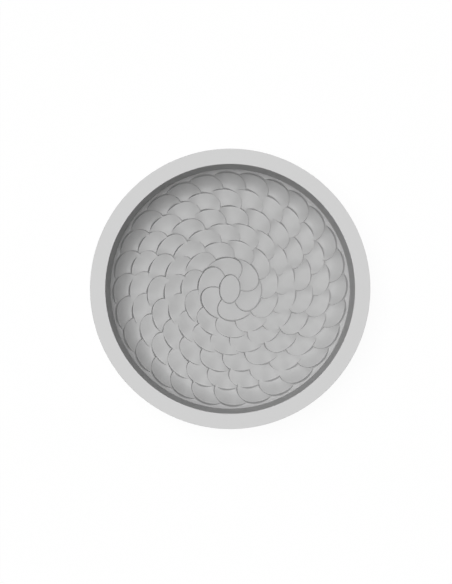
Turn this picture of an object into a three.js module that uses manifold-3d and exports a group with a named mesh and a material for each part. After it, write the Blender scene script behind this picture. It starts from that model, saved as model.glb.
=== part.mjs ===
// Round silicone cake mould with a floor of overlapping petals.
// Millimetres, +Z up. The origin is on the table, under the centre of the foot ring.
import * as THREE from "three";
import { mergeVertices } from "three/addons/utils/BufferGeometryUtils.js";
import Module from "manifold-3d";

const wasm = await Module();
wasm.setup();

// Driving dimensions
const MOUTH_DIAMETER = 180;
const RIM_WIDTH = 11;
const OVERALL_HEIGHT = 52;
const SILICONE = 3;
const WALL_LEAN = 1.1;
const LEDGE_WIDTH = 1.4;

// Rim: a plate over the bowl's flange, with a skirt and a lip that wrap the flange's edge
const PLATE_THICKNESS = 2;
const FLANGE_THICKNESS = 3;
const SKIRT_THICKNESS = 1.3;
const LIP_THICKNESS = 1;
const LIP_REACH = 1.6;
const BAND_WIDTH = 3;
const BAND_THICKNESS = 1.4;
const CLEARANCE = 0.3;

// Foot ring and underside
const FOOT_CLEARANCE = 1.2;
const FOOT_WIDTH = 3.5;
const FOOT_DIAMETER = 95;
const CORNER_ROUND = 5;

// Petals, ring by ring from the centre. Turns are in degrees, lean and fall are how steeply a petal's floor
// climbs outwards, up to its bend and past it, and side is how steeply it climbs anticlockwise.
// The lengths below the list are in ring steps
const RINGS = [
  { petals: 6, turn: 51.5, lean: -0.06, fall: 0.12, side: 0.09 },
  { petals: 11, turn: 16.7, lean: -0.06, fall: 0.12, side: 0.055 },
  { petals: 17, turn: 15.9, lean: -0.06, fall: 0.12, side: 0.04 },
  { petals: 19, turn: 15.1, lean: -0.06, fall: 0.12, side: 0.05 },
  { petals: 25, turn: 8.9, lean: -0.04, fall: 0.2, side: 0.04 },
  { petals: 28, turn: 2.3, lean: 0.15, fall: 0.75, side: 0.06 },
];
const CENTRE_REACH = 0.942;
const LAST_STEP = 0.872;
const PETAL_HALF_WIDTH = 0.865;
const PETAL_HALF_LENGTH = 1.207;
const OVAL_HALF_WIDTH = 0.658;
const OVAL_HALF_LENGTH = 0.899;
const OVAL_TURN = 85;
const BEND = 0.2;
const RING_DROP = 1.8;
const EDGE_FLARE = 0.07;
const EDGE_HEIGHT = 3;

// Fineness of the facets
const ROUND_SEGMENTS = 96;
const PETAL_SEGMENTS = 24;
const CORNER_SEGMENTS = 6;
const FACET_TOLERANCE = 0.01;
const WELD_DISTANCE = 1e-4;

// Worked-out sizes
const mouthRadius = MOUTH_DIAMETER / 2;
const rimRadius = mouthRadius + RIM_WIDTH;
const ledgeRadius = mouthRadius - WALL_LEAN;
const petalField = ledgeRadius - LEDGE_WIDTH;
const ringStep = petalField / (RINGS.length - 1 + CENTRE_REACH + LAST_STEP);
const petalHalfWidth = PETAL_HALF_WIDTH * ringStep;
const petalHalfLength = PETAL_HALF_LENGTH * ringStep;
const petalBend = BEND * ringStep;

// Radii of the petals' tips: even steps out to the last ring but one, then a shorter step to the ledge
const tipRadii = RINGS.map((ring, index) => (index + 1 + CENTRE_REACH) * ringStep);
tipRadii[RINGS.length - 1] = petalField;

// Depths below the ledge at the petals' tips and centres, worked from the outermost ring inwards
const tipDepths = [];
const ringDepths = [];
const shelfDepths = [0];
RINGS.toReversed().forEach(({ lean, fall }) => {
  const tipDepth = shelfDepths[0] + RING_DROP;
  const centreDepth = tipDepth + fall * (petalHalfWidth - petalBend) + lean * petalBend;
  tipDepths.unshift(tipDepth);
  ringDepths.unshift(centreDepth);
  shelfDepths.unshift(centreDepth + lean * (ringStep - petalHalfWidth));
});
const ovalDepth = shelfDepths[0] + RING_DROP;

// Heights above the table
const ledgeHeight = FOOT_CLEARANCE + SILICONE + ovalDepth;
const flangeTop = OVERALL_HEIGHT - PLATE_THICKNESS;
const flangeBottom = flangeTop - FLANGE_THICKNESS;
const lipBottom = flangeBottom - LIP_THICKNESS;
const bandBottom = flangeTop - BAND_THICKNESS;
const wallHeight = OVERALL_HEIGHT - ledgeHeight;

// Radii of the rim joint
const flangeRadius = rimRadius - SKIRT_THICKNESS - CLEARANCE;
const skirtInnerRadius = rimRadius - SKIRT_THICKNESS;
const bandRadius = (mouthRadius + SILICONE + flangeRadius) / 2;
const bandInnerRadius = bandRadius - BAND_WIDTH / 2;
const bandOuterRadius = bandRadius + BAND_WIDTH / 2;

// Inner wall radius at a height, along its drafted line
function wallRadiusAt(height) {
  return mouthRadius - (WALL_LEAN * (OVERALL_HEIGHT - height)) / wallHeight;
}

// A closed mesh with shared vertices and no collapsed triangles
function closedGeometry(geometry) {
  const bare = new THREE.BufferGeometry();
  bare.setAttribute("position", geometry.getAttribute("position"));
  bare.setIndex(geometry.getIndex());
  const merged = mergeVertices(bare, WELD_DISTANCE);
  const corners = merged.getIndex().array;
  const kept = [];
  for (let start = 0; start < corners.length; start += 3) {
    const [first, second, third] = corners.slice(start, start + 3);
    if (first !== second && second !== third && third !== first) {
      kept.push(first, second, third);
    }
  }
  merged.setIndex(kept);
  return merged;
}

function solidFrom(geometry) {
  const closed = closedGeometry(geometry);
  const mesh = new wasm.Mesh({
    numProp: 3,
    vertProperties: new Float32Array(closed.getAttribute("position").array),
    triVerts: new Uint32Array(closed.getIndex().array),
  });
  return new wasm.Manifold(mesh);
}

function geometryFrom(solid) {
  const mesh = solid.getMesh();
  const geometry = new THREE.BufferGeometry();
  geometry.setAttribute("position", new THREE.BufferAttribute(mesh.vertProperties, mesh.numProp));
  geometry.setIndex(new THREE.BufferAttribute(mesh.triVerts, 1));
  geometry.computeVertexNormals();
  return geometry;
}

// A profile of (radius, height) points turned round the Z axis
function turned(profile, segments) {
  const geometry = new THREE.LatheGeometry(profile, segments);
  geometry.rotateX(Math.PI / 2);
  return geometry;
}

function point(radius, height) {
  return new THREE.Vector2(radius, height);
}

// The bowl before its petals are cut: foot ring, dished underside, wall, flange and plain floor
function bowlBlank() {
  const outerRing = RINGS.at(-1);
  const bendDepth = ringDepths.at(-1) - outerRing.lean * petalBend + outerRing.side * petalHalfLength;
  const shoulderRadius = petalField - petalHalfWidth + petalBend;
  const shoulderHeight = ledgeHeight - bendDepth - SILICONE;
  const dishStart = tipRadii[0] - petalHalfWidth + petalBend;
  const dishRadius = tipRadii.at(-2);
  const dishHeight = ledgeHeight - tipDepths.at(-2) - SILICONE;
  const dishSlope = (dishHeight - FOOT_CLEARANCE) / (dishRadius - dishStart);
  const undersideAt = (radius) => FOOT_CLEARANCE + dishSlope * (radius - dishStart);
  const shoulderAt = (radius) => shoulderHeight + outerRing.fall * (radius - shoulderRadius);
  const outerWallAt = (height) => wallRadiusAt(height) + SILICONE;
  const footOuter = FOOT_DIAMETER / 2;
  const footInner = footOuter - FOOT_WIDTH;
  const cornerRadius = outerWallAt(ledgeHeight);
  const cornerStart = cornerRadius - CORNER_ROUND;
  const cornerEnd = shoulderAt(cornerRadius) + CORNER_ROUND;

  const outline = new THREE.Path();
  outline.moveTo(0, FOOT_CLEARANCE);
  outline.lineTo(dishStart, FOOT_CLEARANCE);
  outline.lineTo(footInner, undersideAt(footInner));
  outline.lineTo(footInner, 0);
  outline.lineTo(footOuter, 0);
  outline.lineTo(footOuter, undersideAt(footOuter));
  outline.lineTo(dishRadius, dishHeight);
  outline.lineTo(shoulderRadius, shoulderHeight);
  outline.lineTo(cornerStart, shoulderAt(cornerStart));
  outline.quadraticCurveTo(cornerRadius, shoulderAt(cornerRadius), outerWallAt(cornerEnd), cornerEnd);
  outline.lineTo(outerWallAt(flangeBottom), flangeBottom);
  outline.lineTo(flangeRadius, flangeBottom);
  outline.lineTo(flangeRadius, flangeTop);
  outline.lineTo(bandOuterRadius + CLEARANCE, flangeTop);
  outline.lineTo(bandOuterRadius + CLEARANCE, bandBottom);
  outline.lineTo(bandInnerRadius - CLEARANCE, bandBottom);
  outline.lineTo(bandInnerRadius - CLEARANCE, flangeTop);
  outline.lineTo(wallRadiusAt(flangeTop), flangeTop);
  outline.lineTo(ledgeRadius, ledgeHeight);
  outline.lineTo(0, ledgeHeight);
  return solidFrom(turned(outline.getPoints(CORNER_SEGMENTS), ROUND_SEGMENTS));
}

// One petal's hollow: an elliptical pocket with a flared edge, open up to the mouth
function pocket(halfWidth, halfLength, depth) {
  const clear = depth + wallHeight;
  const profile = [
    point(0, 0),
    point(1, 0),
    point(1 + EDGE_FLARE, EDGE_HEIGHT),
    point(1 + EDGE_FLARE, clear),
    point(0, clear),
  ];
  const geometry = turned(profile, PETAL_SEGMENTS);
  geometry.scale(halfWidth, halfLength, 1);
  geometry.translate(0, 0, ledgeHeight - depth);
  return geometry;
}

// Leans a pocket's floor, so that it rises along +X and +Y from a line at the given X
function leaned(geometry, startX, alongX, alongY) {
  geometry.translate(0, 0, -startX * alongX);
  return geometry.applyMatrix4(new THREE.Matrix4().makeShear(0, alongX, 0, alongY, 0, 0));
}

// A ring's petal, pointing along +X: it leans sideways, and outwards by two falls that meet at its bend
function petal({ lean, fall, side }, depth) {
  const bendDepth = depth - lean * petalBend;
  const inner = leaned(pocket(petalHalfWidth, petalHalfLength, depth), 0, lean, side);
  const outer = leaned(pocket(petalHalfWidth, petalHalfLength, bendDepth), petalBend, fall, side);
  return geometryFrom(solidFrom(inner).intersect(solidFrom(outer)));
}

// All petals: each laps over the one before it in its ring, and over the ring outside it
function petalHollow() {
  const pockets = [];
  RINGS.forEach((ring, index) => {
    const centreRadius = tipRadii[index] - petalHalfWidth;
    const petalGeometry = petal(ring, ringDepths[index]).translate(centreRadius, 0, 0);
    for (let count = 0; count < ring.petals; count += 1) {
      const turn = THREE.MathUtils.degToRad(ring.turn + (360 * count) / ring.petals);
      pockets.push(solidFrom(petalGeometry.clone().rotateZ(turn)));
    }
  });
  const oval = pocket(OVAL_HALF_LENGTH * ringStep, OVAL_HALF_WIDTH * ringStep, ovalDepth);
  pockets.push(solidFrom(oval.rotateZ(THREE.MathUtils.degToRad(OVAL_TURN))));
  return wasm.Manifold.union(pockets);
}

// The finished bowl, with the facets of each flat face merged
function mouldBowl() {
  const bowl = bowlBlank().subtract(petalHollow());
  return geometryFrom(bowl.asOriginal().simplify(FACET_TOLERANCE));
}

// Rim ring: flat plate round the mouth, wrapped over the flange's edge
function rimRing() {
  const lipInnerRadius = flangeRadius - LIP_REACH;
  const profile = [
    point(wallRadiusAt(flangeTop), flangeTop),
    point(skirtInnerRadius, flangeTop),
    point(skirtInnerRadius, flangeBottom),
    point(lipInnerRadius, flangeBottom),
    point(lipInnerRadius, lipBottom),
    point(rimRadius, lipBottom),
    point(rimRadius, OVERALL_HEIGHT),
    point(mouthRadius, OVERALL_HEIGHT),
    point(wallRadiusAt(flangeTop), flangeTop),
  ];
  return geometryFrom(solidFrom(turned(profile, ROUND_SEGMENTS)));
}

// Stiffening band: a flat ring laid in the flange's groove under the rim plate
function stiffeningBand() {
  const profile = [
    point(bandInnerRadius, bandBottom),
    point(bandOuterRadius, bandBottom),
    point(bandOuterRadius, flangeTop),
    point(bandInnerRadius, flangeTop),
    point(bandInnerRadius, bandBottom),
  ];
  return geometryFrom(solidFrom(turned(profile, ROUND_SEGMENTS)));
}

function piece(name, geometry, material) {
  const mesh = new THREE.Mesh(geometry, new THREE.MeshStandardMaterial(material));
  mesh.name = name;
  return mesh;
}

const mould = new THREE.Group();
mould.add(piece("mould_bowl", mouldBowl(), { color: 0xb9b9b9, roughness: 0.6, metalness: 0 }));
mould.add(piece("rim_ring", rimRing(), { color: 0xd1d1d1, roughness: 0.6, metalness: 0 }));
mould.add(piece("stiffening_band", stiffeningBand(), { color: 0xb4b4b8, roughness: 0.35, metalness: 1 }));

export default mould;
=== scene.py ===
import math
from collections import namedtuple

import bpy
import numpy as np
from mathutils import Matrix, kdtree
from mathutils.geometry import delaunay_2d_cdt


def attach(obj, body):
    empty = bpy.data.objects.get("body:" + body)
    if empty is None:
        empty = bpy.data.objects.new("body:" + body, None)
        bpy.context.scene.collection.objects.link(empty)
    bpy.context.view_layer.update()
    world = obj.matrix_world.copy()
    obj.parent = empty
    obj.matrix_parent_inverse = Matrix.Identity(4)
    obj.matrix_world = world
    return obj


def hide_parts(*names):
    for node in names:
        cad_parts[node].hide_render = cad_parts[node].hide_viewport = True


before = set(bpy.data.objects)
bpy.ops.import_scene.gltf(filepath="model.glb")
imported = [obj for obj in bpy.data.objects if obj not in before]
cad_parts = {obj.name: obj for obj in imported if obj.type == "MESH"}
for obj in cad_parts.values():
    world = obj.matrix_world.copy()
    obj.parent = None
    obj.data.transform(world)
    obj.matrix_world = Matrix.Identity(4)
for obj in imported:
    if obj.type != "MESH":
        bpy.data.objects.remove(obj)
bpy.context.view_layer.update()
scene = bpy.context.scene

MM = 0.001
WHITE = (1.0, 1.0, 1.0, 1.0)

# Driving sizes, shared with the solids
MOUTH_RADIUS = 90.0
RIM_WIDTH = 11.0
HEIGHT = 52.0
SILICONE = 3.0
WALL_LEAN = 1.1
LEDGE_WIDTH = 1.4
PLATE_THICKNESS = 2.0
FLANGE_THICKNESS = 3.0
SKIRT_THICKNESS = 1.3
LIP_THICKNESS = 1.0
LIP_REACH = 1.6
BAND_WIDTH = 3.0
BAND_THICKNESS = 1.4
CLEARANCE = 0.3
FOOT_CLEARANCE = 1.2
FOOT_WIDTH = 3.5
FOOT_RADIUS = 47.5
CORNER_ROUND = 5.0

# Rim, flange and groove, which follow from them
RIM_RADIUS = MOUTH_RADIUS + RIM_WIDTH
SKIRT_INNER_RADIUS = RIM_RADIUS - SKIRT_THICKNESS
FLANGE_RADIUS = SKIRT_INNER_RADIUS - CLEARANCE
LIP_INNER_RADIUS = FLANGE_RADIUS - LIP_REACH
FLANGE_TOP = HEIGHT - PLATE_THICKNESS
FLANGE_BOTTOM = FLANGE_TOP - FLANGE_THICKNESS
LIP_BOTTOM = FLANGE_BOTTOM - LIP_THICKNESS
BAND_RADIUS = (MOUTH_RADIUS + SILICONE + FLANGE_RADIUS) / 2
GROOVE_INNER_RADIUS = BAND_RADIUS - BAND_WIDTH / 2 - CLEARANCE
GROOVE_OUTER_RADIUS = BAND_RADIUS + BAND_WIDTH / 2 + CLEARANCE
GROOVE_BOTTOM = FLANGE_TOP - BAND_THICKNESS

# Petals, ring by ring from the centre. Turns are in degrees. Lean and fall are how steeply a petal's floor
# climbs outwards, up to its bend and past it, and side is how steeply it climbs anticlockwise.
# The values given by name are finer form that the solids leave out: the strength of the cup, how far the
# floor is sunk, the depth of the crease, the easing of both climbs, a shift outwards and the step's slope
STEP_SLOPE = 2.5
Ring = namedtuple(
    "Ring",
    "petals turn lean fall side cup sink crease ease shift slope",
    defaults=(0.0, 0.0, STEP_SLOPE),
)
RINGS = (
    Ring(6, 51.5, -0.06, 0.12, 0.09, cup=0.4, sink=1.1, crease=0.3),
    Ring(11, 16.7, -0.06, 0.12, 0.055, cup=1.0, sink=0.8, crease=0.1),
    Ring(17, 15.9, -0.06, 0.12, 0.04, cup=1.0, sink=0.7, crease=0.1),
    Ring(19, 15.1, -0.06, 0.12, 0.05, cup=1.0, sink=0.55, crease=0.1),
    Ring(25, 8.9, -0.04, 0.2, 0.04, cup=1.0, sink=0.35, crease=0.08, ease=0.05),
    Ring(28, 2.3, 0.15, 0.75, 0.06, cup=1.2, sink=0.65, crease=0.1, ease=0.12, shift=0.2, slope=4.5),
)
RING_DROP = 1.8

# Half axes of a petal and of the central oval, outwards and sideways, from the step between rings.
# A petal's bend lies a little outside its centre
CENTRE_REACH = 0.942
LAST_STEP = 0.872
WALL_FOOT_RADIUS = MOUTH_RADIUS - WALL_LEAN
PETAL_FIELD = WALL_FOOT_RADIUS - LEDGE_WIDTH
RING_STEP = PETAL_FIELD / (len(RINGS) - 1 + CENTRE_REACH + LAST_STEP)
PETAL_HALF_OUT = 0.865 * RING_STEP
PETAL_HALF_SIDE = 1.207 * RING_STEP
PETAL_BEND = 0.2 * RING_STEP
BEND_SOFTNESS = 4.0
OVAL_HALF_OUT = 0.899 * RING_STEP
OVAL_HALF_SIDE = 0.658 * RING_STEP
OVAL_TURN = 85.0
OVAL_SINK = 0.8
OVAL_CREASE = 0.5

# Cup of a petal: a swell on one side, a steep rise on the other, and a rise inwards that hollows it
CUP_HEIGHT = 0.38
CUP_GROWTH = 0.1
CUP_LENGTH = 18.0
CUP_SPREAD = 0.9
CUP_SHORTEST = 4.0
CUP_CURVE = 0.04
CUP_TILT = 0.03
CUP_TWIST = 0.012
CUP_REACH = 3.0
CUP_HOLLOW = 0.1

# Steps between petals: how far inside the outline they start, the crease at the foot and the rounded top
STEP_INSET = 0.6
CREASE_WIDTH = 0.4
EDGE_ROUND = 0.3

# Ledge: a little wider than in the solids, with a fillet against the wall.
# The petalled floor is welded to the turned wall on a circle just inside the fillet
LEDGE_GAIN = 0.5
LEDGE_FILLET = 0.4
WELD_INSET = 0.6
LEDGE_RADIUS = WALL_FOOT_RADIUS + LEDGE_GAIN
FLOOR_RADIUS = LEDGE_RADIUS - WELD_INSET

# Roundings of the turned profiles
FLANGE_ROOT_ROUND = 2.0
UNDERSIDE_ROUND = 1.2
FOOT_ROOT_ROUND = 1.0
FOOT_ROUND = 0.6
DISH_ROUND = 3.0
RIM_INNER_ROUND = 0.25
RIM_OUTER_ROUND = 0.3
LIP_OUTER_ROUND = 0.6
LIP_INNER_ROUND = 0.35

# Rows of points along a step: their spacing, where they lie across it, and the least step that gets them.
# A step's height is taken between a probe inside its foot and one past its top
STATION_STEP = 1.0
FOOT_MARGIN = 0.6
CREASE_SHARES = (1.0, 0.5, 0.0)
SLOPE_SHARES = (0.33, 0.67, 1.0)
TOP_MARGINS = (0.12, 0.5)
FOOT_PROBE = 0.1
TOP_PROBE = 0.5
LEAST_STEP = 0.04
LEAST_SLOPE_WIDTH = 0.1

# Fineness of the grid between the steps and of the turned profiles, and the tolerances of the meshes
GRID_STEP = 1.0
GRID_CLEARANCE = 0.7
BORDER_CLEARANCE = 0.1
ROUND_STEPS = 360
FILLET_STEPS = 4
FLAT_SUPPORT = 0.15
SHARP_ANGLE = 40.0
MERGE_DISTANCE = 1e-5
WELD_DIGITS = 4
TINY = 1e-9


def ring_depths():
    """Depths below the ledge at the petals' tips, at their centres and at the oval, worked inwards."""
    tips = []
    centres = []
    shelf = 0.0
    for ring in reversed(RINGS):
        tip = shelf + RING_DROP
        centre = tip + ring.fall * (PETAL_HALF_OUT - PETAL_BEND) + ring.lean * PETAL_BEND
        tips.insert(0, tip)
        centres.insert(0, centre)
        shelf = centre + ring.lean * (RING_STEP - PETAL_HALF_OUT)
    return tips, centres, shelf + RING_DROP


TIP_DEPTHS, DEPTHS, OVAL_DEPTH = ring_depths()
TIP_RADII = [(index + 1 + CENTRE_REACH) * RING_STEP for index in range(len(RINGS) - 1)] + [PETAL_FIELD]
LEDGE_HEIGHT = FOOT_CLEARANCE + SILICONE + OVAL_DEPTH

# Pockets that the petals and the oval make in the floor: each value is a column with a row for each pocket
Pockets = namedtuple("Pockets", "turn radius half_out half_side depth lean fall side cup crease slope")


def all_pockets():
    """The pockets of all the petals, ring by ring, and of the oval."""
    rows = []
    for ring, tip_radius, depth in zip(RINGS, TIP_RADII, DEPTHS):
        radius = tip_radius - PETAL_HALF_OUT + ring.shift
        for number in range(ring.petals):
            rows.append(Pockets(
                turn=math.radians(ring.turn + 360.0 * number / ring.petals),
                radius=radius,
                half_out=PETAL_HALF_OUT,
                half_side=PETAL_HALF_SIDE,
                depth=depth + ring.sink,
                lean=ring.lean - ring.ease,
                fall=ring.fall - ring.ease,
                side=ring.side,
                cup=ring.cup,
                crease=ring.crease,
                slope=ring.slope,
            ))
    rows.append(Pockets(
        turn=math.radians(OVAL_TURN),
        radius=0.0,
        half_out=OVAL_HALF_OUT,
        half_side=OVAL_HALF_SIDE,
        depth=OVAL_DEPTH + OVAL_SINK,
        lean=0.0,
        fall=0.0,
        side=0.0,
        cup=0.0,
        crease=OVAL_CREASE,
        slope=STEP_SLOPE,
    ))
    return Pockets(*(np.array(column)[:, None] for column in zip(*rows)))


POCKETS = all_pockets()


def local_points(points):
    """Each point outwards and sideways from each pocket's centre, and how much further out it lies."""
    x, y = points[:, 0], points[:, 1]
    along = x * np.cos(POCKETS.turn) + y * np.sin(POCKETS.turn) - POCKETS.radius
    across = y * np.cos(POCKETS.turn) - x * np.sin(POCKETS.turn)
    return along, across, np.hypot(x, y) - POCKETS.radius


def petal_cup(across, outward):
    """Height of a petal's cupped floor over its mean plane: a long swell one way, a steep rise the other."""
    height = np.maximum(CUP_HEIGHT + CUP_GROWTH * outward, 0.0)
    length = np.maximum(CUP_LENGTH + CUP_SPREAD * outward, CUP_SHORTEST)
    swell = height * (1.0 - np.cos(2.0 * math.pi * across / length))
    tilt = CUP_TILT + CUP_TWIST * np.maximum(CUP_REACH - outward, 0.0)
    hollow = CUP_HOLLOW * np.maximum(PETAL_BEND - outward, 0.0)
    return np.where(across < 0.0, swell, CUP_CURVE * across ** 2) + tilt * across + hollow


def pocket_floors(across, outward):
    """Depth of each pocket's floor, without its edge."""
    past = outward - PETAL_BEND
    soft = np.clip(past + BEND_SOFTNESS, 0.0, 2.0 * BEND_SOFTNESS) ** 2 / (4.0 * BEND_SOFTNESS)
    bend = np.where(past > BEND_SOFTNESS, past, soft)
    climb = POCKETS.lean * outward
    steeper = (POCKETS.fall - POCKETS.lean) * bend
    return POCKETS.depth - climb - steeper - POCKETS.side * across - POCKETS.cup * petal_cup(across, outward)


def pocket_offsets(along, across):
    """Distance of each point from the foot of each pocket's step, negative on the pocket's floor."""
    a, b = POCKETS.half_out, POCKETS.half_side
    reach = np.sqrt((along / a) ** 2 + (across / b) ** 2) + TINY
    steepness = np.sqrt((along / a ** 2) ** 2 + (across / b ** 2) ** 2) / reach + TINY
    return (reach - 1.0) / steepness + STEP_INSET


def edge_rise(offset):
    """How far the step has climbed at a distance from its foot, with a fine crease along the foot."""
    crease = POCKETS.crease * np.maximum(1.0 - np.abs(offset) / CREASE_WIDTH, 0.0)
    return POCKETS.slope * np.maximum(offset, 0.0) - crease


def pocket_depths(points):
    """Depth of each pocket at each point, floor and step together."""
    along, across, outward = local_points(points)
    return pocket_floors(across, outward) - edge_rise(pocket_offsets(along, across))


def floor_heights(points):
    """Height of the mould's floor, with the upper edges of the steps rounded."""
    depths = pocket_depths(points)
    ledge = np.zeros((1, len(points)))
    second, first = np.partition(np.vstack([depths, ledge]), -2, axis=0)[-2:]
    overlap = np.maximum(EDGE_ROUND - (first - second), 0.0)
    return LEDGE_HEIGHT - first - overlap ** 2 / (4.0 * EDGE_ROUND)


def outline_rows(index):
    """Rows of points along one pocket's step, from its foot to past its top, and which points show."""
    turn, radius, a, b = (column[index, 0] for column in POCKETS[:4])
    count = int(math.pi * (a + b) / STATION_STEP)
    angle = np.linspace(0.0, 2.0 * math.pi, count, endpoint=False)
    foot = np.stack([a * np.cos(angle), b * np.sin(angle)], axis=1)
    normal = np.stack([np.cos(angle) / a, np.sin(angle) / b], axis=1)
    normal /= np.linalg.norm(normal, axis=1, keepdims=True)
    rotation = np.array([[math.cos(turn), math.sin(turn)], [-math.sin(turn), math.cos(turn)]])

    def placed(offset):
        return (foot + normal * (offset[:, None] - STEP_INSET) + np.array([radius, 0.0])) @ rotation

    inside = pocket_depths(placed(np.full(count, -CREASE_WIDTH - FOOT_PROBE)))
    outside = pocket_depths(placed(np.full(count, TOP_PROBE)))
    outside[index] = -HEIGHT
    step = inside[index] - np.maximum(outside.max(axis=0), 0.0)
    shows = (inside.argmax(axis=0) == index) & (step > LEAST_STEP)
    top = np.maximum(step / POCKETS.slope[index, 0], LEAST_SLOPE_WIDTH)
    offsets = [np.full(count, -CREASE_WIDTH - FOOT_MARGIN)]
    offsets += [np.full(count, -CREASE_WIDTH * share) for share in CREASE_SHARES]
    offsets += [top * share for share in SLOPE_SHARES]
    offsets += [top + margin for margin in TOP_MARGINS]
    return [placed(offset) for offset in offsets], shows


def floor_samples():
    """Points over the floor, dense across the steps, and the edges that follow them."""
    points = []
    edges = []
    for index in range(len(POCKETS.turn)):
        rows, shows = outline_rows(index)
        for row in rows:
            kept = shows & (np.hypot(row[:, 0], row[:, 1]) < FLOOR_RADIUS - BORDER_CLEARANCE)
            numbers = np.full(len(row), -1)
            numbers[kept] = len(points) + np.arange(kept.sum())
            points.extend(tuple(point) for point in row[kept])
            following = np.roll(numbers, -1)
            joined = (numbers >= 0) & (following >= 0)
            edges.extend(zip(numbers[joined].tolist(), following[joined].tolist()))
    return points, edges


def background_grid(points):
    """A triangular grid of points over the rest of the floor."""
    tree = kdtree.KDTree(len(points))
    for number, (x, y) in enumerate(points):
        tree.insert((x, y, 0.0), number)
    tree.balance()
    grid = []
    row_step = GRID_STEP * math.sqrt(3.0) / 2.0
    rows = int(PETAL_FIELD / row_step) + 1
    for row in range(-rows, rows + 1):
        shift = GRID_STEP / 2.0 if row % 2 else 0.0
        for column in range(-rows - 1, rows + 2):
            x, y = column * GRID_STEP + shift, row * row_step
            if math.hypot(x, y) < PETAL_FIELD and tree.find((x, y, 0.0))[2] > GRID_CLEARANCE:
                grid.append((x, y))
    return grid


def petal_floor():
    """Vertices and faces of the petalled floor, out to a plain circle on the ledge."""
    points, edges = floor_samples()
    points += background_grid(points)
    start = len(points)
    for number in range(ROUND_STEPS):
        angle = 2.0 * math.pi * number / ROUND_STEPS
        points.append((FLOOR_RADIUS * math.cos(angle), FLOOR_RADIUS * math.sin(angle)))
        edges.append((start + number, start + (number + 1) % ROUND_STEPS))
    flat, _, faces, *_ = delaunay_2d_cdt(points, edges, [], 0, MERGE_DISTANCE, False)
    flat = np.array([tuple(point) for point in flat])
    # The circle keeps its exact points, so that the turned wall can be welded to it
    flat[start:start + ROUND_STEPS] = points[start:start + ROUND_STEPS]
    return np.column_stack([flat, floor_heights(flat)]), faces


def rounded(corner, before, after, radius):
    """Points of a fillet of about the given radius at a corner, and one on the flat either side of it."""
    corner, before, after = (np.array(point, float) for point in (corner, before, after))
    back = (before - corner) / np.linalg.norm(before - corner)
    ahead = (after - corner) / np.linalg.norm(after - corner)
    shares = np.linspace(0.0, 1.0, FILLET_STEPS + 1)[:, None]
    curve = corner + radius * ((1 - shares) ** 2 * back + shares ** 2 * ahead) if radius else corner[None]
    flats = corner + (radius + FLAT_SUPPORT) * np.array([back, ahead])
    return [tuple(point) for point in np.vstack([flats[:1], curve, flats[1:]])]


def softened(profile, closed):
    """A profile of (radius, height, rounding) points with each rounded corner drawn out."""
    points = []
    count = len(profile)
    for number, (radius, height, rounding) in enumerate(profile):
        if not closed and number in (0, count - 1):
            points.append((radius, height))
            continue
        before = profile[number - 1][:2]
        after = profile[(number + 1) % count][:2]
        points += rounded((radius, height), before, after, rounding)
    return points


def turned(profile, closed):
    """Vertices and faces of a profile turned round the Z axis. An open one is closed by a disc at its end."""
    angles = 2.0 * math.pi * np.arange(ROUND_STEPS) / ROUND_STEPS
    vertices = []
    faces = []
    for radius, height in profile:
        for angle in angles:
            vertices.append((radius * math.cos(angle), radius * math.sin(angle), height))
    count = len(profile)
    for row in range(count if closed else count - 1):
        below = row * ROUND_STEPS
        above = (row + 1) % count * ROUND_STEPS
        for number in range(ROUND_STEPS):
            after = (number + 1) % ROUND_STEPS
            faces.append((below + after, below + number, above + number, above + after))
    if not closed:
        vertices.append((0.0, 0.0, profile[-1][1]))
        last = (count - 1) * ROUND_STEPS
        for number in range(ROUND_STEPS):
            faces.append((last + (number + 1) % ROUND_STEPS, last + number, count * ROUND_STEPS))
    return np.array(vertices), faces


def wall_radius(height, lean=WALL_LEAN):
    """The wall's inner radius at a height, for a wall that leans in by so much from mouth to ledge."""
    return MOUTH_RADIUS - lean * (HEIGHT - height) / (HEIGHT - LEDGE_HEIGHT)


WALL_TOP_RADIUS = wall_radius(FLANGE_TOP, MOUTH_RADIUS - LEDGE_RADIUS)


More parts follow.
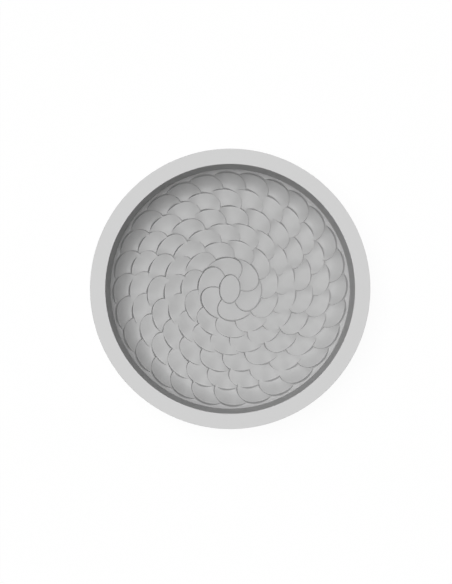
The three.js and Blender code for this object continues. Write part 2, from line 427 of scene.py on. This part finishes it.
def bowl_profile():
    """The bowl's section from the ledge, up the wall, round the flange and under the floor."""
    outer = RINGS[-1]
    bend_depth = DEPTHS[-1] - outer.lean * PETAL_BEND + outer.side * PETAL_HALF_SIDE
    shoulder_radius = PETAL_FIELD - PETAL_HALF_OUT + PETAL_BEND
    shoulder_height = LEDGE_HEIGHT - bend_depth - SILICONE
    dish_start = TIP_RADII[0] - PETAL_HALF_OUT + PETAL_BEND
    dish_radius = TIP_RADII[-2]
    dish_height = LEDGE_HEIGHT - TIP_DEPTHS[-2] - SILICONE
    dish_slope = (dish_height - FOOT_CLEARANCE) / (dish_radius - dish_start)
    foot_inner = FOOT_RADIUS - FOOT_WIDTH

    def underside(radius):
        return FOOT_CLEARANCE + dish_slope * (radius - dish_start)

    corner_radius = wall_radius(LEDGE_HEIGHT) + SILICONE
    corner_height = shoulder_height + outer.fall * (corner_radius - shoulder_radius)
    return [
        (FLOOR_RADIUS, LEDGE_HEIGHT, 0),
        (LEDGE_RADIUS, LEDGE_HEIGHT, LEDGE_FILLET),
        (WALL_TOP_RADIUS, FLANGE_TOP, 0),
        (GROOVE_INNER_RADIUS, FLANGE_TOP, 0),
        (GROOVE_INNER_RADIUS, GROOVE_BOTTOM, 0),
        (GROOVE_OUTER_RADIUS, GROOVE_BOTTOM, 0),
        (GROOVE_OUTER_RADIUS, FLANGE_TOP, 0),
        (FLANGE_RADIUS, FLANGE_TOP, 0),
        (FLANGE_RADIUS, FLANGE_BOTTOM, 0),
        (wall_radius(FLANGE_BOTTOM) + SILICONE, FLANGE_BOTTOM, FLANGE_ROOT_ROUND),
        (corner_radius, corner_height, CORNER_ROUND),
        (shoulder_radius, shoulder_height, UNDERSIDE_ROUND),
        (dish_radius, dish_height, UNDERSIDE_ROUND),
        (FOOT_RADIUS, underside(FOOT_RADIUS), FOOT_ROOT_ROUND),
        (FOOT_RADIUS, 0.0, FOOT_ROUND),
        (foot_inner, 0.0, FOOT_ROUND),
        (foot_inner, underside(foot_inner), FOOT_ROOT_ROUND),
        (dish_start, FOOT_CLEARANCE, DISH_ROUND),
        (dish_start / 2, FOOT_CLEARANCE, 0),
    ]


def rim_profile():
    """The rim's section: a plate with a skirt and a lip that wrap the flange's edge."""
    return [
        (MOUTH_RADIUS, HEIGHT, RIM_INNER_ROUND),
        (RIM_RADIUS, HEIGHT, RIM_OUTER_ROUND),
        (RIM_RADIUS, LIP_BOTTOM, LIP_OUTER_ROUND),
        (LIP_INNER_RADIUS, LIP_BOTTOM, LIP_INNER_ROUND),
        (LIP_INNER_RADIUS, FLANGE_BOTTOM, 0),
        (SKIRT_INNER_RADIUS, FLANGE_BOTTOM, 0),
        (SKIRT_INNER_RADIUS, FLANGE_TOP, 0),
        (WALL_TOP_RADIUS, FLANGE_TOP, 0),
    ]


def welded(parts):
    """Meshes joined at the points that they share."""
    numbers = {}
    vertices = []
    faces = []
    for points, part_faces in parts:
        own = []
        for point in points:
            key = tuple(np.round(point, WELD_DIGITS))
            if key not in numbers:
                numbers[key] = len(vertices)
                vertices.append(point)
            own.append(numbers[key])
        faces += [[own[corner] for corner in face] for face in part_faces]
    return vertices, faces


def mesh_object(name, vertices, faces, material):
    """An object with a smooth mesh that is sharp along its hard edges, scaled to metres."""
    mesh = bpy.data.meshes.new(name)
    mesh.from_pydata((np.asarray(vertices) * MM).tolist(), [], [tuple(face) for face in faces])
    mesh.validate()
    mesh.polygons.foreach_set("use_smooth", [True] * len(mesh.polygons))
    mesh.set_sharp_from_angle(angle=math.radians(SHARP_ANGLE))
    mesh.materials.append(material)
    piece = bpy.data.objects.new(name, mesh)
    scene.collection.objects.link(piece)
    return piece


# Silicone: grey, mottling and shine of the two pieces, and what the skin shows
BOWL_GREY = 0.432
BOWL_MOTTLING = 0.008
BOWL_SHINE = 0.2
RIM_GREY = 0.597
RIM_MOTTLING = 0.006
RIM_SHINE = 0.15
MOTTLE_SCALE = 90.0
MOTTLE_SPAN = (0.3, 0.7)
SILICONE_ROUGHNESS = (0.45, 0.55)
GRAIN_SCALE = 2600.0
GRAIN_STRENGTH = 0.12
GRAIN_DEPTH = 0.04

# Steel: two greys of the rolling lines, a touch of blue, and their scale
STEEL_GREYS = (0.55, 0.64)
STEEL_BLUE = 0.01
STEEL_ROUGHNESS = (0.28, 0.42)
STEEL_LINE_SCALE = 900.0

# Floor: how far it reaches from the middle, its paint, and the share of the mould's shadow that shows
FLOOR_HALF = 3000.0
FLOOR_GREY = 0.95
SHADOW_SHARE = 0.07


def node(tree, kind, **inputs):
    """A shader node with its named inputs set."""
    made = tree.nodes.new(kind)
    for name, value in inputs.items():
        made.inputs[name.replace("_", " ")].default_value = value
    return made


def new_material(name):
    """A new material, with its node tree."""
    material = bpy.data.materials.new(name)
    material.use_nodes = True
    return material, material.node_tree


def silicone(name, grey, mottling, shine):
    """Matt moulded silicone: faint mottling, uneven sheen and a fine satin skin."""
    material, tree = new_material(name)
    shader = tree.nodes["Principled BSDF"]
    shader.inputs["Specular IOR Level"].default_value = shine
    place = tree.nodes.new("ShaderNodeTexCoord")
    mottle = node(tree, "ShaderNodeTexNoise", Scale=MOTTLE_SCALE, Detail=5.0, Roughness=0.6)
    grain = node(tree, "ShaderNodeTexNoise", Scale=GRAIN_SCALE, Detail=2.0, Roughness=0.5)
    tint = tree.nodes.new("ShaderNodeValToRGB")
    levels = (grey - mottling, grey + mottling)
    for stop, position, level in zip(tint.color_ramp.elements, MOTTLE_SPAN, levels):
        stop.position = position
        stop.color = (level, level, level, 1.0)
    gloss = node(tree, "ShaderNodeMapRange", From_Min=MOTTLE_SPAN[0], From_Max=MOTTLE_SPAN[1],
                 To_Min=SILICONE_ROUGHNESS[0], To_Max=SILICONE_ROUGHNESS[1])
    bump = node(tree, "ShaderNodeBump", Strength=GRAIN_STRENGTH, Distance=GRAIN_DEPTH * MM)
    for texture in (mottle, grain):
        tree.links.new(place.outputs["Object"], texture.inputs["Vector"])
    tree.links.new(mottle.outputs["Fac"], tint.inputs["Fac"])
    tree.links.new(tint.outputs["Color"], shader.inputs["Base Color"])
    tree.links.new(mottle.outputs["Fac"], gloss.inputs["Value"])
    tree.links.new(gloss.outputs["Result"], shader.inputs["Roughness"])
    tree.links.new(grain.outputs["Fac"], bump.inputs["Height"])
    tree.links.new(bump.outputs["Normal"], shader.inputs["Normal"])
    return material


def rolled_steel(name):
    """Flat steel strip with fine rolling lines."""
    material, tree = new_material(name)
    shader = tree.nodes["Principled BSDF"]
    shader.inputs["Metallic"].default_value = 1.0
    place = tree.nodes.new("ShaderNodeTexCoord")
    lines = node(tree, "ShaderNodeTexWave", Scale=STEEL_LINE_SCALE, Distortion=2.0, Detail=3.0)
    lines.wave_type = "RINGS"
    lines.rings_direction = "Z"
    tint = tree.nodes.new("ShaderNodeValToRGB")
    for stop, level in zip(tint.color_ramp.elements, STEEL_GREYS):
        stop.color = (level, level, level + STEEL_BLUE, 1.0)
    gloss = node(tree, "ShaderNodeMapRange", To_Min=STEEL_ROUGHNESS[0], To_Max=STEEL_ROUGHNESS[1])
    tree.links.new(place.outputs["Object"], lines.inputs["Vector"])
    tree.links.new(lines.outputs["Fac"], tint.inputs["Fac"])
    tree.links.new(tint.outputs["Color"], shader.inputs["Base Color"])
    tree.links.new(lines.outputs["Fac"], gloss.inputs["Value"])
    tree.links.new(gloss.outputs["Result"], shader.inputs["Roughness"])
    return material


def seen_rays(tree):
    """One for rays that see the surroundings, straight or reflected, and zero for those that light them."""
    rays = tree.nodes.new("ShaderNodeLightPath")
    level = rays.outputs["Is Camera Ray"]
    for name in ("Is Glossy Ray", "Is Transmission Ray"):
        widest = tree.nodes.new("ShaderNodeMath")
        widest.operation = "MAXIMUM"
        tree.links.new(level, widest.inputs[0])
        tree.links.new(rays.outputs[name], widest.inputs[1])
        level = widest.outputs["Value"]
    return level


def white_floor(name):
    """Pale paint that looks white, and still shows a faint share of the mould's shadow."""
    material, tree = new_material(name)
    tree.nodes.clear()
    paint = node(tree, "ShaderNodeBsdfDiffuse", Color=(FLOOR_GREY, FLOOR_GREY, FLOOR_GREY, 1.0))
    glow = node(tree, "ShaderNodeEmission", Color=WHITE, Strength=1.0)
    mix = tree.nodes.new("ShaderNodeMixShader")
    share = tree.nodes.new("ShaderNodeMath")
    share.operation = "MULTIPLY"
    share.inputs[1].default_value = 1.0 - SHADOW_SHARE
    output = tree.nodes.new("ShaderNodeOutputMaterial")
    tree.links.new(seen_rays(tree), share.inputs[0])
    tree.links.new(share.outputs["Value"], mix.inputs["Fac"])
    tree.links.new(paint.outputs["BSDF"], mix.inputs[1])
    tree.links.new(glow.outputs["Emission"], mix.inputs[2])
    tree.links.new(mix.outputs["Shader"], output.inputs["Surface"])
    return material


# Pieces
bowl_material = silicone("bowl_silicone_look", BOWL_GREY, BOWL_MOTTLING, BOWL_SHINE)
rim_material = silicone("rim_silicone_look", RIM_GREY, RIM_MOTTLING, RIM_SHINE)

bowl_vertices, bowl_faces = welded([petal_floor(), turned(softened(bowl_profile(), False), False)])
bowl = mesh_object("mould_bowl_dressed", bowl_vertices, bowl_faces, bowl_material)
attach(bowl, "root")
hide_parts("mould_bowl")

rim_vertices, rim_faces = turned(softened(rim_profile(), True), True)
rim = mesh_object("rim_ring_dressed", rim_vertices, rim_faces, rim_material)
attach(rim, "root")
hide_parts("rim_ring")

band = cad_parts["stiffening_band"]
band.data.materials.clear()
band.data.materials.append(rolled_steel("band_steel_look"))

# Floor
floor_corners = [(-FLOOR_HALF, -FLOOR_HALF, 0), (FLOOR_HALF, -FLOOR_HALF, 0),
                 (FLOOR_HALF, FLOOR_HALF, 0), (-FLOOR_HALF, FLOOR_HALF, 0)]
floor = mesh_object("floor", floor_corners, [(0, 1, 2, 3)], white_floor("floor_look"))

# Light: a faint even sky and a broad light overhead, a little to the upper left of the picture
SKY_LEVEL = 0.07
TOP_LEVEL = 0.94
TOP_SOFTNESS = 42.0
TOP_AZIMUTH = 147.0
TOP_ELEVATION = 78.8

world = bpy.data.worlds.new("studio")
scene.world = world
world.use_nodes = True
world_tree = world.node_tree
sky = world_tree.nodes["Background"]
sky.inputs["Color"].default_value = WHITE
sky.inputs["Strength"].default_value = SKY_LEVEL
backdrop = node(world_tree, "ShaderNodeBackground", Color=WHITE, Strength=1.0)
world_mix = world_tree.nodes.new("ShaderNodeMixShader")
world_tree.links.new(seen_rays(world_tree), world_mix.inputs["Fac"])
world_tree.links.new(sky.outputs["Background"], world_mix.inputs[1])
world_tree.links.new(backdrop.outputs["Background"], world_mix.inputs[2])
world_tree.links.new(world_mix.outputs["Shader"], world_tree.nodes["World Output"].inputs["Surface"])

# The lamp's strength is set so that it gives level ground the share of full light named above
top_light = bpy.data.lights.new("top_light", "SUN")
top_light.energy = TOP_LEVEL * math.pi / math.sin(math.radians(TOP_ELEVATION))
top_light.angle = math.radians(TOP_SOFTNESS)
top_lamp = bpy.data.objects.new("top_light", top_light)
top_lamp.rotation_euler = (0.0, math.radians(90.0 - TOP_ELEVATION), math.radians(TOP_AZIMUTH))
scene.collection.objects.link(top_lamp)

# Camera: straight down over the mould, whose middle is a little right of and above the picture's.
# The distance is measured from the rim, where a pixel has the size given here
CAMERA_DISTANCE = 657.0
PIXEL_SIZE = 0.72014
PICTURE_WIDTH = 452
PICTURE_HEIGHT = 584
MOULD_COLUMN = 230.17
MOULD_ROW = 288.84
SENSOR_WIDTH = 36.0

camera_data = bpy.data.cameras.new("camera")
camera_data.sensor_width = SENSOR_WIDTH
camera_data.lens = SENSOR_WIDTH * CAMERA_DISTANCE / (PICTURE_HEIGHT * PIXEL_SIZE)
camera = bpy.data.objects.new("camera", camera_data)
camera.location = (
    (PICTURE_WIDTH / 2 - MOULD_COLUMN) * PIXEL_SIZE * MM,
    (MOULD_ROW - PICTURE_HEIGHT / 2) * PIXEL_SIZE * MM,
    (HEIGHT + CAMERA_DISTANCE) * MM,
)
scene.collection.objects.link(camera)
scene.camera = camera

scene.view_settings.view_transform = "Standard"
